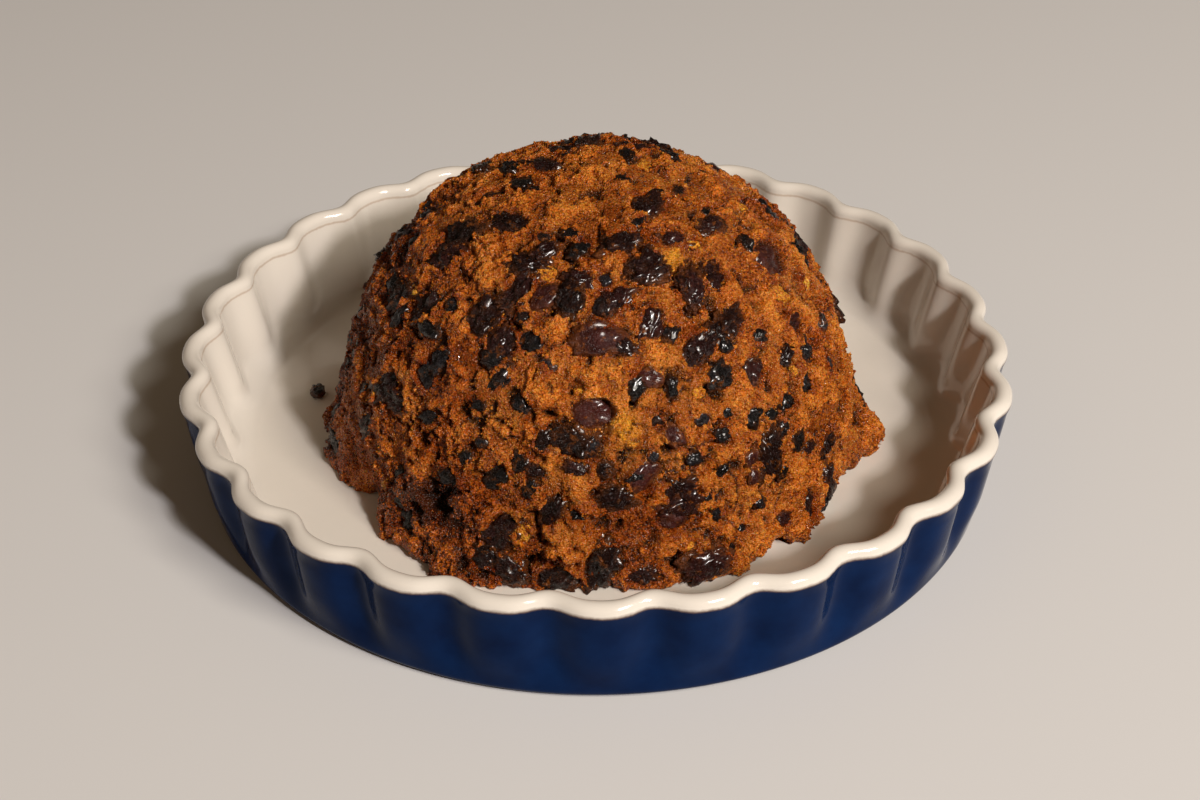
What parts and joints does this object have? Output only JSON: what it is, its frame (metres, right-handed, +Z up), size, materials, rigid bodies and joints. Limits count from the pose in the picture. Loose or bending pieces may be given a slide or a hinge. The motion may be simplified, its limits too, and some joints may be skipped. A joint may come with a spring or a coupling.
{
  "type": "christmas pudding in a fluted dish",
  "caption": "Domed Christmas pudding packed with dried fruit, turned out into the round fluted stoneware dish with a rolled lip that it is served in.",
  "frame": {"origin": "centre of the dish's flat underside, on the surface that it stands on", "axes": "+Z up along the dish's axis, -Y towards the front of the pudding as it is shown, +X to the right"},
  "size_m": [0.245, 0.245, 0.0911],
  "materials": {
    "glaze": "glossy stoneware glaze, warm off-white inside and on the lip, dark blue outside",
    "crumb": "moist, grainy steamed sponge, reddish brown with orange-brown high spots",
    "dried_fruit": "sticky, wrinkled raisin skin, near black with dark red and purple lights",
    "currant": "small wrinkled currant, near black"
  },
  "bodies": {
    "root": {"dish": "glaze", "pudding": "crumb", "raisin_01": "dried_fruit", "raisin_02": "dried_fruit", "raisin_03": "dried_fruit", "raisin_04": "dried_fruit", "raisin_05": "dried_fruit", "raisin_06": "dried_fruit", "raisin_07": "dried_fruit", "raisin_08": "dried_fruit", "raisin_09": "dried_fruit", "raisin_10": "dried_fruit", "raisin_11": "dried_fruit", "raisin_12": "dried_fruit", "raisin_13": "dried_fruit", "raisin_14": "dried_fruit", "raisin_15": "dried_fruit", "raisin_16": "dried_fruit", "raisin_17": "dried_fruit", "raisin_18": "dried_fruit", "raisin_19": "dried_fruit", "raisin_20": "dried_fruit", "raisin_21": "dried_fruit", "raisin_22": "dried_fruit", "raisin_23": "dried_fruit", "raisin_24": "dried_fruit", "raisin_25": "dried_fruit", "loose_currant": "currant"}
  },
  "joints": []
}
